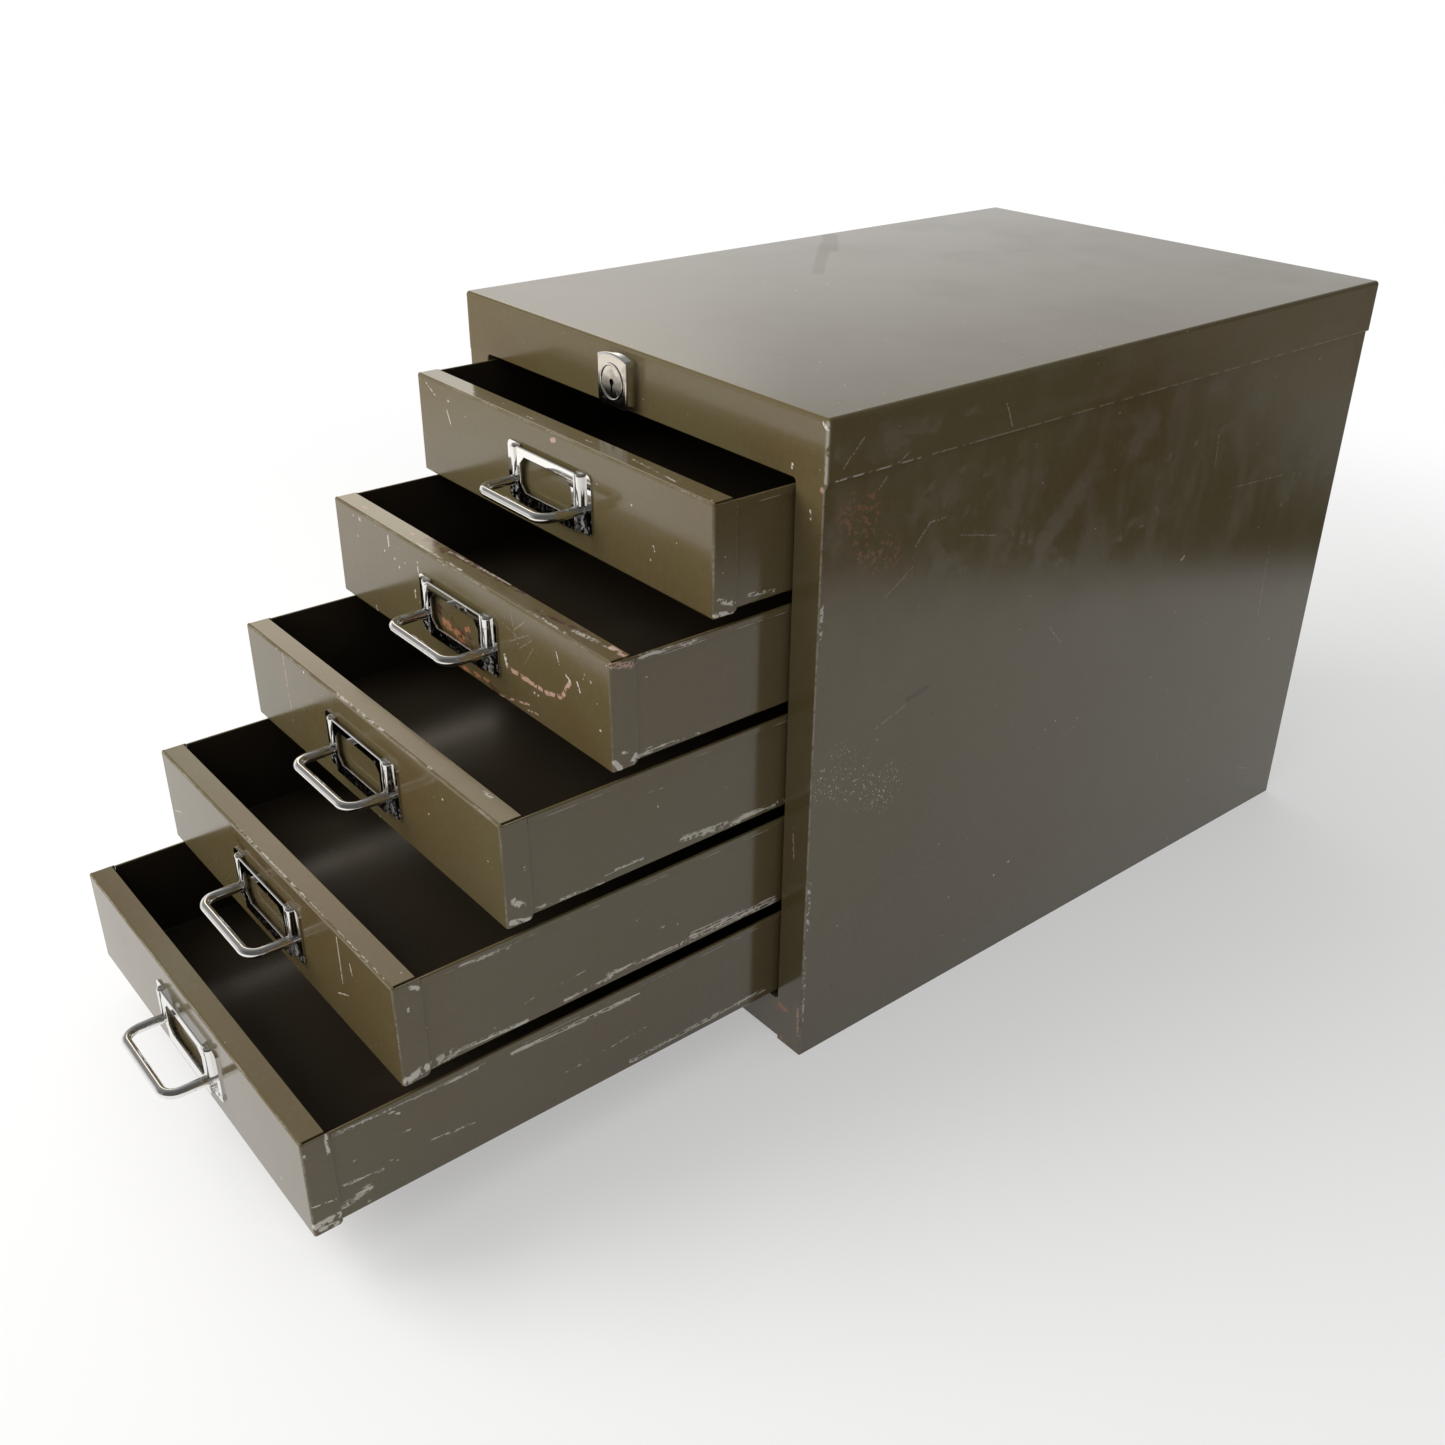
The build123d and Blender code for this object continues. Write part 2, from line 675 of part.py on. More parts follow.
def bar_guide(index):
    """Strap on the back panel that the bar slides in, beside one of the drawers."""
    strap_back = bar_front - running_clearance
    inner = bar_width / 2 + running_clearance
    outer = inner + guide_sheet
    low = tray_bottom(index) + guide_above_tray
    high = low + guide_height
    guide = block(plug_x - outer, plug_x + outer, strap_back - guide_sheet, strap_back, low, high)
    for side in (-1, 1):
        leg = sorted((plug_x + side * inner, plug_x + side * outer))
        guide += block(leg[0], leg[1], strap_back - guide_sheet, body_back_inner, low, high)
        foot = sorted((plug_x + side * inner, plug_x + side * (outer + guide_foot)))
        guide += block(foot[0], foot[1], body_back_inner - guide_sheet, body_back_inner, low, high)
    return guide


# ---- write every piece ----
export("top_and_front_shell", top_and_front_shell())
export("side_panel_right", side_panel(1))
export("side_panel_left", side_panel(-1))
export("floor_pan", floor_pan())
export("back_panel", back_panel())
for index in range(drawer_count):
    number = str(index + 1)
    export("runner_right_" + number, runner(index, 1))
    export("runner_left_" + number, runner(index, -1))
    export("drawer_" + number + "_tray", drawer_tray(index))
    export("drawer_" + number + "_front", drawer_front(index))
    export("drawer_" + number + "_card_frame", card_frame(index))
    export("drawer_" + number + "_pull", pull(index))
    export("drawer_" + number + "_pull_nuts", pull_nuts(index))
    export("drawer_" + number + "_catch", catch(index))
export("top_kicker_right", kicker(1))
export("top_kicker_left", kicker(-1))
export("lock_body", lock_body())
export("lock_nut", lock_nut())
export("lock_plug", lock_plug())
export("lock_rod", lock_rod())
export("lock_crank", lock_crank())
export("rod_bracket", rod_bracket())
export("locking_bar", locking_bar())
export("bar_guide_upper", bar_guide(1))
export("bar_guide_lower", bar_guide(4))
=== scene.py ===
import bmesh
import bpy
from mathutils import Matrix, Vector


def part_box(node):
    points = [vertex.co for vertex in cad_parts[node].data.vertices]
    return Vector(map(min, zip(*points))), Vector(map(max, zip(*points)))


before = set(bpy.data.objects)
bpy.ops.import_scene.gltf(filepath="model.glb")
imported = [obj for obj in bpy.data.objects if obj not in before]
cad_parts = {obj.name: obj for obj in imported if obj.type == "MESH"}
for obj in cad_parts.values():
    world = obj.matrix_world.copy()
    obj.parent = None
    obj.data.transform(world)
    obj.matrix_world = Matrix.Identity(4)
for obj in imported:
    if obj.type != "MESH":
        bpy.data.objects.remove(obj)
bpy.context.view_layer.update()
mm = 0.001
drawerCount = 5
print("frame loaded")


# node helpers
def newMaterial(name):
    material = bpy.data.materials.new(name)
    material.use_nodes = True
    tree = material.node_tree
    tree.nodes.clear()
    output = tree.nodes.new("ShaderNodeOutputMaterial")
    shader = tree.nodes.new("ShaderNodeBsdfPrincipled")
    tree.links.new(shader.outputs[0], output.inputs[0])
    return material, tree, shader


def feed(tree, socket, value):
    # a socket is linked, anything else is set
    if isinstance(value, bpy.types.NodeSocket):
        tree.links.new(value, socket)
    else:
        socket.default_value = value


def maths(tree, operation, first, second=0.0, clamp=False):
    node = tree.nodes.new("ShaderNodeMath")
    node.operation = operation
    node.use_clamp = clamp
    feed(tree, node.inputs[0], first)
    feed(tree, node.inputs[1], second)
    return node.outputs[0]


def vectorMaths(tree, operation, first, second=(0, 0, 0)):
    node = tree.nodes.new("ShaderNodeVectorMath")
    node.operation = operation
    feed(tree, node.inputs[0], first)
    feed(tree, node.inputs[1], second)
    return node.outputs["Value" if operation in ("DOT_PRODUCT", "LENGTH", "DISTANCE") else "Vector"]


def scaledVector(tree, vector, factor):
    node = tree.nodes.new("ShaderNodeVectorMath")
    node.operation = "SCALE"
    feed(tree, node.inputs[0], vector)
    feed(tree, node.inputs["Scale"], factor)
    return node.outputs[0]


def ramp(tree, value, low, high, start=0.0, end=1.0):
    # smooth step from start at low to end at high
    node = tree.nodes.new("ShaderNodeMapRange")
    node.interpolation_type = "SMOOTHSTEP"
    feed(tree, node.inputs["Value"], value)
    feed(tree, node.inputs["From Min"], low)
    feed(tree, node.inputs["From Max"], high)
    feed(tree, node.inputs["To Min"], start)
    feed(tree, node.inputs["To Max"], end)
    return node.outputs["Result"]


def mixColour(tree, factor, first, second):
    node = tree.nodes.new("ShaderNodeMix")
    node.data_type = "RGBA"
    feed(tree, node.inputs["Factor"], factor)
    feed(tree, node.inputs["A"], first)
    feed(tree, node.inputs["B"], second)
    return node.outputs["Result"]


def place(tree):
    return tree.nodes.new("ShaderNodeTexCoord").outputs["Object"]


def axes(tree, point):
    node = tree.nodes.new("ShaderNodeSeparateXYZ")
    feed(tree, node.inputs[0], point)
    return node.outputs


def noise(tree, point, scale, detail, output="Fac"):
    node = tree.nodes.new("ShaderNodeTexNoise")
    feed(tree, node.inputs["Vector"], point)
    node.inputs["Scale"].default_value = scale
    node.inputs["Detail"].default_value = detail
    return node.outputs[output]


def patches(tree, point, pattern):
    # a pattern is the noise's scale, where a patch begins, where it is full, and the noise's detail
    scale, begins, full, detail = pattern
    return ramp(tree, noise(tree, point, scale, detail), begins, full)


def streaks(tree, point, squeeze, pattern):
    # patches drawn out along the axes that squeeze makes small
    return patches(tree, vectorMaths(tree, "MULTIPLY", point, squeeze), pattern)


def shaken(tree, point, edge):
    # the point moved about by noise, for ragged edges; an edge is the noise's scale and its reach
    scale, reach = edge
    detail = 3.0
    middle = (0.5, 0.5, 0.5)
    drift = vectorMaths(tree, "SUBTRACT", noise(tree, point, scale, detail, "Color"), middle)
    return vectorMaths(tree, "ADD", point, scaledVector(tree, drift, reach))


def nearValue(tree, value, target, reach):
    # 1 at the target, 0 further away than reach
    distance = maths(tree, "ABSOLUTE", maths(tree, "SUBTRACT", value, target))
    return ramp(tree, distance, reach, 0.0)


def both(tree, first, second):
    return maths(tree, "MULTIPLY", first, second)


def faded(tree, mask, share):
    return maths(tree, "MULTIPLY", mask, share)


def opposite(tree, mask):
    return maths(tree, "SUBTRACT", 1.0, mask)


def anyOf(tree, first, *others):
    for other in others:
        first = maths(tree, "MAXIMUM", first, other)
    return first


def bump(tree, shader, height, distance, strength):
    node = tree.nodes.new("ShaderNodeBump")
    node.inputs["Strength"].default_value = strength
    node.inputs["Distance"].default_value = distance
    feed(tree, node.inputs["Height"], height)
    tree.links.new(node.outputs[0], shader.inputs["Normal"])


def dress(nodeName, material):
    # a CAD node keeps its mesh and gets one material
    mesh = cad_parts[nodeName].data
    mesh.materials.clear()
    mesh.materials.append(material)


# marks: each is a start, an end and a half width, in mm on a face; a dab starts and ends at one place
def strokeGroup():
    # 1 within half the width of the line from Start to End, 0 outside the width
    group = bpy.data.node_groups.new("stroke", "ShaderNodeTree")
    for name, kind in (("Point", "Vector"), ("Start", "Vector"), ("End", "Vector"), ("Width", "Float")):
        group.interface.new_socket(name, in_out="INPUT", socket_type="NodeSocket" + kind)
    group.interface.new_socket("Mask", in_out="OUTPUT", socket_type="NodeSocketFloat")
    given = group.nodes.new("NodeGroupInput").outputs
    line = vectorMaths(group, "SUBTRACT", given["End"], given["Start"])
    offset = vectorMaths(group, "SUBTRACT", given["Point"], given["Start"])
    smallest = 1e-9
    reach = maths(group, "MAXIMUM", vectorMaths(group, "DOT_PRODUCT", line, line), smallest)
    along = maths(group, "DIVIDE", vectorMaths(group, "DOT_PRODUCT", offset, line), reach, clamp=True)
    nearest = scaledVector(group, line, along)
    distance = vectorMaths(group, "LENGTH", vectorMaths(group, "SUBTRACT", offset, nearest))
    mask = ramp(group, distance, given["Width"], maths(group, "MULTIPLY", given["Width"], 0.5))
    feed(group, group.nodes.new("NodeGroupOutput").inputs["Mask"], mask)
    return group


stroke = strokeGroup()


def dab(tree, point, middle, width):
    distance = vectorMaths(tree, "DISTANCE", point, middle)
    return ramp(tree, distance, width, 0.5 * width)


def line(tree, point, start, end, width):
    node = tree.nodes.new("ShaderNodeGroup")
    node.node_tree = stroke
    feed(tree, node.inputs["Point"], point)
    node.inputs["Start"].default_value = start
    node.inputs["End"].default_value = end
    node.inputs["Width"].default_value = width
    return node.outputs[0]


def marked(tree, point, marks, onSurface, mask):
    # onSurface puts a mark's pair of numbers into space, mask thins it out, and no marks give nothing
    masks = []
    for start, end, width in marks:
        first = onSurface(*start)
        if start == end:
            masks.append(dab(tree, point, first, width * mm))
        else:
            masks.append(line(tree, point, first, onSurface(*end), width * mm))
    return both(tree, anyOf(tree, *masks), mask) if masks else 0.0


# stove enamel, with what all painted pieces share, and the painted shade inside the trays
enamel = {
    "olive": (0.100, 0.079, 0.036, 1),
    "brownOlive": (0.094, 0.067, 0.028, 1),
    "dull": (0.15, 0.13, 0.095, 1),
    "bare": (0.52, 0.49, 0.43, 1),
    "rust": (0.30, 0.125, 0.060, 1),
    "darkRust": (0.070, 0.035, 0.020, 1),
    "primer": (0.40, 0.25, 0.19, 1),
    # painted shade: the trays' dark inside colour
    "inside": (0.030, 0.023, 0.015, 1),
    "gloss": 0.13,  # roughness of sound paint
    "insideGloss": 0.20,
    "cloudyGloss": 0.05,
    "wornGloss": 0.36,
    "bareGloss": 0.36,
    "peel": 0.03 * mm,
    "peelScale": 620.0,
    "peelDetail": 2.0,
    "peelStrength": 0.3,
    "clouds": (9.0, 0.35, 0.68, 4.0),
    "grain": (380.0, 0.40, 0.75, 2.0),
    "grainShare": 0.10,
    "dulling": (15.0, 0.52, 0.80, 4.0),
    "dullingShare": 0.25,
    "dullColourShare": 0.5,
    "glossClouds": (26.0, 0.42, 0.72, 4.0),
    "flakes": (900.0, 0.40, 0.50, 2.0),
    "pinholes": (420.0, 0.80, 0.83, 1.0),
}


def paintBase(tree, point):
    # two olives in soft clouds, with a little fine grain
    clouds = patches(tree, point, enamel["clouds"])
    colour = mixColour(tree, clouds, enamel["olive"], enamel["brownOlive"])
    grain = faded(tree, patches(tree, point, enamel["grain"]), enamel["grainShare"])
    return mixColour(tree, grain, colour, enamel["dull"])


def finishPaint(tree, shader, point, colour, layers, gloss):
    # layers are masks of stain, dark rust, rust and bare metal, and of scuffs that only dull the paint
    dulling = faded(tree, patches(tree, point, enamel["dulling"]), enamel["dullingShare"])
    dulled = anyOf(tree, layers.get("scuff", 0.0), dulling)
    colour = mixColour(tree, faded(tree, dulled, enamel["dullColourShare"]), colour, enamel["dull"])
    for name, paint in (("stain", "primer"), ("darkRust", "darkRust"), ("rust", "rust"), ("bare", "bare")):
        if name in layers:
            colour = mixColour(tree, layers[name], colour, enamel[paint])
    feed(tree, shader.inputs["Base Color"], colour)
    broken = anyOf(tree, layers.get("bare", 0.0), layers.get("stain", 0.0), layers.get("rust", 0.0))
    cloudy = faded(tree, patches(tree, point, enamel["glossClouds"]), enamel["cloudyGloss"])
    roughness = maths(tree, "ADD", cloudy, gloss)
    roughness = ramp(tree, dulled, 0.0, 1.0, roughness, enamel["wornGloss"])
    roughness = ramp(tree, broken, 0.0, 1.0, roughness, enamel["bareGloss"])
    feed(tree, shader.inputs["Roughness"], roughness)
    peel = noise(tree, point, enamel["peelScale"], enamel["peelDetail"])
    bump(tree, shader, peel, enamel["peel"], enamel["peelStrength"])


def plainPaint():
    material, tree, shader = newMaterial("plainPaint")
    point = place(tree)
    layers = {"bare": patches(tree, point, enamel["pinholes"])}
    finishPaint(tree, shader, point, paintBase(tree, point), layers, enamel["gloss"])
    return material


# top, skirts, fascia, stiles and rail: x and y on the top, y and z on the skirt, x and z on the face
shell = {
    "topScuffs": (((-134, 48), (-101, 18), 7), ((-118, 30), (-60, -30), 5)),
    "topScuffShare": 0.45,
    "topDark": (
        ((63, -181), (68, -181), 0.9), ((78, -203), (81, -203), 0.9), ((120, -185), (128, -186), 0.8),
        ((-138, -195), (-131, -193), 0.8), ((-120, -191), (-114, -189), 0.7)),
    "skirtScuffs": (
        ((-198, 312), (-165, 309), 7), ((-180, 318), (-143, 315), 6), ((-125, 316), (-118, 316), 3),
        ((-104, 322), (-98, 322), 2.5), ((-60, 308), (-20, 306), 3)),
    "skirtScratches": (
        ((-99, 315), (-94, 304), 0.5), ((-165, 302), (-159, 305), 0.5), ((-197, 306), (-186, 317), 0.4)),
    "skirtScratchShare": 0.35,
    "fasciaChips": (
        ((119, 304), (119, 302), 0.7), ((131, 287), (131, 284), 0.7), ((137, 326), (139, 324), 1.2)),
    "stileRust": (((123, 22), (128, 21), 2.2), ((124, 2), (127, 1), 1.8)),
    "stileStain": (((136, 28), (137, 12), 1.0), ((128, 127), (129, 114), 0.5)),
    "weld": (((137.5, 298), (137.5, 298), 1.6),),
    "weldShare": 0.7,
    "skirtHeight": 27 * mm,
    "foldReach": 1.1 * mm,
    "cornerReach": 2.42 * mm,
    "rubbedFrom": -120 * mm,
    "rubbedTo": -200 * mm,
    # the level along the skirt edge behind the front wear is a painted highlight
    "seamHighlight": 0.25,
    "mostRubbed": 0.8,
    "ragged": (260.0, 2.4 * mm),
    "wobbly": (350.0, 0.8 * mm),
    "blurred": (120.0, 9 * mm),
    "cornerWear": (300.0, 0.38, 0.52, 4.0),
    "skirtEdgePatches": (260.0, 0.40, 0.52, 4.0),
    "smears": (60.0, 0.25, 0.85, 4.0),
    "rustPatches": (300.0, 0.42, 0.50, 4.0),
    "haze": (70.0, 0.42, 0.70, 2.0),
    "hazeSqueeze": (1, 0.5, 1),
    "hazeShare": 0.30,
}


def shellPaint():
    material, tree, shader = newMaterial("shellPaint")
    point = place(tree)
    low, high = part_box("top_and_front_shell")
    ragged = shaken(tree, point, shell["ragged"])
    wobbly = shaken(tree, point, shell["wobbly"])
    blurred = shaken(tree, point, shell["blurred"])
    flakes = patches(tree, point, enamel["flakes"])
    x, y, z = axes(tree, point)

    def onTop(across, deep):
        return across * mm, deep * mm, high[2]

    def onSkirt(deep, up):
        return high[0], deep * mm, up * mm

    def onFace(across, up):
        return across * mm, low[1], up * mm

    # worn folds: both upright front corners, and the right skirt's lower edge, most of all near the front;
    # along the rest of that edge the pale line is a painted highlight
    rightSide = ramp(tree, x, high[0] - 1 * mm, high[0] - 0.5 * mm)
    atFront = nearValue(tree, y, low[1], shell["foldReach"])
    atEnds = nearValue(tree, maths(tree, "ABSOLUTE", x), high[0], shell["cornerReach"])
    corner = both(tree, both(tree, atFront, atEnds), patches(tree, point, shell["cornerWear"]))
    skirtEdge = both(tree, nearValue(tree, z, high[2] - shell["skirtHeight"], shell["foldReach"]), rightSide)
    # painted highlight: a pale line along the whole skirt edge, with wear added towards the front
    wearAndHighlight = ramp(tree, y, shell["rubbedFrom"], shell["rubbedTo"], shell["seamHighlight"], shell["mostRubbed"])
    wearAndHighlight = both(tree, patches(tree, point, shell["skirtEdgePatches"]), wearAndHighlight)
    thinned = faded(tree, flakes, shell["skirtScratchShare"])
    bare = anyOf(
        tree, corner, both(tree, skirtEdge, wearAndHighlight),
        marked(tree, wobbly, shell["skirtScratches"], onSkirt, thinned),
        marked(tree, ragged, shell["fasciaChips"], onFace, flakes),
        patches(tree, point, enamel["pinholes"]))
    haze = streaks(tree, point, shell["hazeSqueeze"], shell["haze"])
    scuff = anyOf(
        tree, marked(tree, blurred, shell["skirtScuffs"], onSkirt, patches(tree, point, shell["smears"])),
        faded(tree, both(tree, haze, rightSide), shell["hazeShare"]),
        marked(tree, ragged, shell["topScuffs"], onTop, shell["topScuffShare"]))
    stain = anyOf(
        tree, marked(tree, wobbly, shell["stileStain"], onFace, flakes),
        marked(tree, ragged, shell["weld"], onFace, shell["weldShare"]))
    layers = {
        "bare": bare,
        "scuff": scuff,
        "stain": stain,
        "darkRust": marked(tree, wobbly, shell["topDark"], onTop, flakes),
        "rust": marked(tree, ragged, shell["stileRust"], onFace, patches(tree, point, shell["rustPatches"])),
    }
    finishPaint(tree, shader, point, paintBase(tree, point), layers, enamel["gloss"])
    return material


# right side panel: y and z
side = {
    "scratches": (
        ((-149, 260), (-141, 269), 0.7), ((-141, 269), (-131, 269), 0.6), ((99, 232), (146, 229), 0.4),
        ((148, 186), (150, 141), 0.45), ((77, 248), (75, 268), 0.4), ((-47, 191), (-36, 179), 0.5),
        ((-167, 174), (-148, 180), 0.5), ((164, 32), (172, 29), 0.6), ((-174, 292), (-170, 296), 0.6),
        ((-150, 250), (-166, 240), 0.4), ((-120, 258), (-96, 252), 0.4)),
    "scratchShare": 0.28,
    "dabs": (((-68, 50), (-68, 50), 1.2), ((-57, 54), (-57, 54), 1.2), ((60, 200), (62, 201), 0.9)),
    "dabShare": 0.8,
    "scuffs": (
        ((-128, 266), (-102, 273), 3.5), ((-107, 284), (-65, 291), 3), ((-93, 262), (-60, 236), 7),
        ((-60, 236), (-26, 209), 6), ((-2, 228), (44, 238), 6), ((-150, 284), (-110, 292), 3),
        ((30, 262), (90, 270), 4), ((150, 215), (188, 240), 12)),
    "scuffShare": 0.7,
    "dark": (
        ((-147, 183), (-134, 185), 1.8), ((-129, 169), (-129, 169), 1), ((94, 84), (94, 84), 1),
        ((-142, 71), (-142, 71), 1.1), ((-186, 34), (-186, 34), 1.1)),
    "darkShare": 0.7,
    "redPatch": (((-186, 284), (-172, 262), 15),),
    "redShare": 0.40,
    "palePatch": (((-192, 158), (-160, 140), 17),),
    "paleBareShare": 0.75,
    "paleStainShare": 0.5,
    "edgeChips": (
        ((-205, 246), (-205, 232), 2.2), ((-205, 103), (-205, 77), 2.4), ((-205, 60), (-205, 20), 1.5)),
    "bareShare": 0.8,
    "upperFrom": 165 * mm,
    "upperTo": 235 * mm,
    "ragged": (260.0, 2.4 * mm),
    "wobbly": (350.0, 0.8 * mm),
    "blurred": (120.0, 9 * mm),
    "spread": (60.0, 18 * mm),
    "dots": (760.0, 0.62, 0.68, 2.0),
    "redDots": (430.0, 0.53, 0.60, 4.0),
    "chipPatches": (420.0, 0.50, 0.56, 4.0),
    "smears": (160.0, 0.30, 0.75, 4.0),
    "haze": (62.0, 0.45, 0.72, 2.0),
    "hazeSqueeze": (1, 1, 0.35),
    "hazeShare": 0.45,
    "mottling": (42.0, 0.48, 0.66, 4.0),
    "mottlingShare": 0.55,
}


def sidePaint():
    material, tree, shader = newMaterial("sidePaint")
    point = place(tree)
    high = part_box("side_panel_right")[1]
    ragged = shaken(tree, point, side["ragged"])
    wobbly = shaken(tree, point, side["wobbly"])
    blurred = shaken(tree, point, side["blurred"])
    spread = shaken(tree, point, side["spread"])

    def onSide(deep, up):
        return high[0], deep * mm, up * mm

    pale = marked(tree, spread, side["palePatch"], onSide, patches(tree, point, side["dots"]))
    red = marked(tree, spread, side["redPatch"], onSide, patches(tree, point, side["redDots"]))
    thinned = faded(tree, patches(tree, point, enamel["flakes"]), side["scratchShare"])
    bare = anyOf(
        tree, marked(tree, wobbly, side["scratches"], onSide, thinned),
        faded(tree, pale, side["paleBareShare"]),
        marked(tree, ragged, side["dabs"], onSide, side["dabShare"]),
        marked(tree, ragged, side["edgeChips"], onSide, patches(tree, point, side["chipPatches"])),
        patches(tree, point, enamel["pinholes"]))
    # smears, and haze in upright streaks and soft mottling over the upper part
    scuff = marked(tree, blurred, side["scuffs"], onSide, patches(tree, point, side["smears"]))
    upper = ramp(tree, axes(tree, point)[2], side["upperFrom"], side["upperTo"])
    haze = both(tree, streaks(tree, point, side["hazeSqueeze"], side["haze"]), upper)
    mottling = both(tree, patches(tree, blurred, side["mottling"]), upper)
    layers = {
        "bare": faded(tree, bare, side["bareShare"]),
        "stain": faded(tree, pale, side["paleStainShare"]),
        "rust": faded(tree, red, side["redShare"]),
        "darkRust": marked(tree, ragged, side["dark"], onSide, side["darkShare"]),
        "scuff": anyOf(
            tree, faded(tree, scuff, side["scuffShare"]), faded(tree, haze, side["hazeShare"]),
            faded(tree, mottling, side["mottlingShare"])),
    }
    finishPaint(tree, shader, point, paintBase(tree, point), layers, enamel["gloss"])
    return material


# drawer fronts: x from the middle and depth below the top edge on the face, and on the top flange
# x and depth behind the face
drawerMarks = {
    1: {
        "faceBare": (
            ((-112, 3), (-103, 8), 0.45), ((-90, 8), (-90, 8), 0.9), ((-92, 13), (-89, 20), 0.45),
            ((79, 31), (80, 33), 0.5), ((77, 38), (77, 38), 0.6)),
        "faceStain": (((3, 4), (5, 3), 1.6),),
        "topBare": (
            ((-76, 5), (-72, 5), 0.6), ((-48, 6), (-44, 6), 0.6), ((-24, 4), (-18, 4), 0.5),
            ((22, 6), (27, 6), 0.6), ((56, 7), (93, 4), 0.7)),
    },
    2: {
        "faceBare": (
            ((-100, 4), (-100, 4), 0.8), ((-93, 4), (-93, 4), 1.3), ((-97, 14), (-97, 14), 0.8),
            ((-64, 4), (-64, 9), 0.8), ((-69, 13), (-69, 13), 0.7), ((-54, 7), (-54, 7), 0.8),
            ((-59, 14), (-59, 14), 0.8), ((-55, 17), (-55, 17), 0.9), ((-36, 8), (-36, 14), 0.5),
            ((-41, 24), (-41, 28), 0.6), ((-85, 48), (-84, 51), 0.7), ((39, 28), (40, 32), 1.3),
            ((62, 37), (62, 37), 0.8), ((65, 37), (65, 37), 0.7), ((96, 18), (98, 22), 0.6),
            ((106, 14), (106, 14), 0.8), ((88, 18), (91, 20), 0.7), ((112, 34), (112, 34), 0.8),
            ((81, 10), (83, 15), 0.4)),
        "faceFaint": (
            ((39, 12), (52, 15), 0.3), ((46, 4), (49, 16), 0.3), ((57, 5), (48, 12), 0.4),
            ((62, 12), (51, 20), 0.3), ((44, 19), (60, 10), 0.3), ((64, 14), (55, 26), 0.3)),
        "faceStain": (
            ((40, 33), (59, 33), 1.5), ((59, 33), (72, 33), 1.3), ((72, 33), (84, 30), 1.4),
            ((84, 30), (91, 20), 1.4), ((31, 51), (57, 45), 0.7), ((101, 12), (101, 12), 1.4),
            ((56, 48), (64, 47), 0.6)),
        "faceRust": (
            ((1, 49), (13, 48), 1.5), ((13, 48), (24, 47), 1.2), ((-14, 31), (2, 34), 3.0),
            ((6, 28), (8, 27), 2.0)),
        "faceDark": (((24, 48), (31, 50), 1.6), ((-18, 26), (14, 34), 4)),
        "topStain": (((-98, 5), (-94, 5), 1.2), ((-54, 6), (-50, 6), 1.2), ((108, 9), (118, 9), 2.0)),
        "topBare": (
            ((-44, 2), (2, 2), 0.9), ((-20, 9), (30, 11), 0.9), ((50, 2), (86, 2), 0.8),
            ((86, 6), (112, 9), 1.5)),
        "topDark": (
            ((-40, 8), (0, 10), 3.2), ((0, 10), (40, 11), 3.0), ((-24, 6), (-16, 7), 1.4),
            ((60, 4), (90, 9), 1.5)),
    },
    3: {
        "faceBare": (
            ((-55, 2), (-55, 2), 0.9), ((-85, 1), (-85, 1), 0.8), ((74, 10), (74, 10), 0.7),
            ((60, 24), (60, 24), 0.6)),
        "faceStain": (((-78, 1), (-77, 38), 0.4),),
        "topBare": (
            ((-22, 1), (22, 1), 0.9), ((48, 1), (50, 1), 0.9), ((62, 1), (64, 1), 0.9),
            ((94, 9), (99, 9), 1.4)),
    },
    4: {
        "faceBare": (
            ((72, 3), (72, 27), 0.4), ((66, 36), (76, 31), 0.45), ((82, 11), (83, 16), 0.5),
            ((-117, 34), (-106, 30), 0.3)),
        "faceDark": (((-29, 6), (-20, 10), 1.8), ((-5, 5), (7, 7), 1.8)),
        "topBare": (((-30, 1), (40, 1), 0.6), ((40, 1), (112, 1), 0.4)),
    },
    5: {
        "faceBare": (((90, 40), (92, 41), 0.5), ((30, 22), (30, 22), 0.5)),
        "topBare": (((-60, 2), (-54, 2), 0.5),),
    },
}
# ears and tray sides: depth behind the face and depth below the front's top edge
earMarks = {
    1: (((3, 43), (11, 46), 1.7), ((1, 49), (11, 50), 1.4)),
    2: (((1, 46), (4, 50), 1.6), ((4, 43), (8, 43), 0.9), ((10, 49), (12, 46), 1.6)),
    3: (((4, 38), (8, 42), 1.9), ((2, 48), (11, 50), 1.5), ((10, 24), (10, 25), 0.8)),
    4: (
        ((2, 48), (11, 46), 2.6), ((8, 3), (11, 5), 1.2), ((6, 13), (6, 14), 0.8), ((2, 47), (3, 51), 1.6)),
    5: (
        ((11, 1), (11, 11), 0.9), ((1, 6), (1, 7), 0.8), ((0, 34), (11, 36), 0.45), ((0, 45), (11, 45), 2.0),
        ((3, 48), (10, 49), 1.6)),
}
earStain = {2: (((0, 1), (11, 4), 1.8),)}
